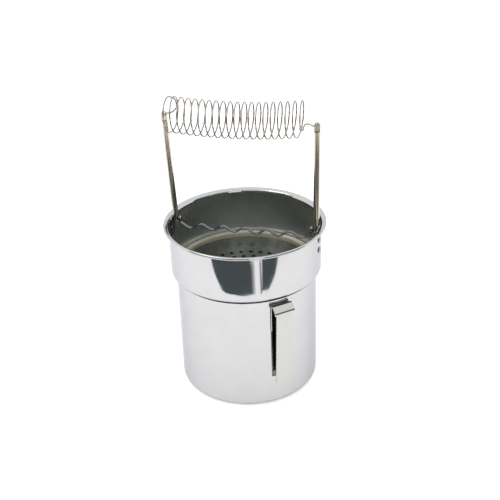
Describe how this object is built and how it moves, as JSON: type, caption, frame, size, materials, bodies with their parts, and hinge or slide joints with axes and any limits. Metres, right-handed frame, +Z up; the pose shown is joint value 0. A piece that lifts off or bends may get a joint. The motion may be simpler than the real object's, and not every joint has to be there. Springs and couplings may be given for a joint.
{
  "type": "brush washer",
  "caption": "Stepped steel cup with a rolled lip, a perforated strainer, a wavy brush rest, a coil spring between two swinging posts and a hanging clip.",
  "frame": {"origin": "centre of the cup's underside, on the surface it stands on", "axes": "+Z up along the cup's axis; +X along the brush holder, from its left post to its right post; +Y away from the side with the hanging clip"},
  "size_m": [0.116, 0.116, 0.2171],
  "materials": {
    "cup_steel": "satin spun stainless steel",
    "clip_steel": "satin stainless strip",
    "bracket_steel": "satin stainless sheet",
    "rivet_steel": "plain stainless",
    "strip_steel": "bright stainless strip",
    "screen_steel": "perforated stainless sheet, slightly stained",
    "post_steel": "polished stainless rod",
    "spring_steel": "bright drawn stainless wire"
  },
  "bodies": {
    "pot": {"pot_shell": "cup_steel", "hanging_clip": "clip_steel", "left_bracket": "bracket_steel", "right_bracket": "bracket_steel", "left_rivet_upper": "rivet_steel", "left_rivet_lower": "rivet_steel", "right_rivet_upper": "rivet_steel", "right_rivet_lower": "rivet_steel", "left_pivot_pin": "rivet_steel", "right_pivot_pin": "rivet_steel", "wave_strip": "strip_steel"},
    "strainer": {"strainer_tray": "screen_steel"},
    "brush_holder": {"left_post": "post_steel", "right_post": "post_steel", "coil_spring": "spring_steel"}
  },
  "joints": [
    {"name": "strainer_lift", "type": "slide", "parent": "pot", "child": "strainer", "axis": [0, 0, 1], "range_m": [0, 0.013]},
    {"name": "holder_swing", "type": "hinge", "parent": "pot", "child": "brush_holder", "pos_m": [0, 0, 0.1236], "axis": [1, 0, 0], "range_deg": [-70, 70]}
  ]
}
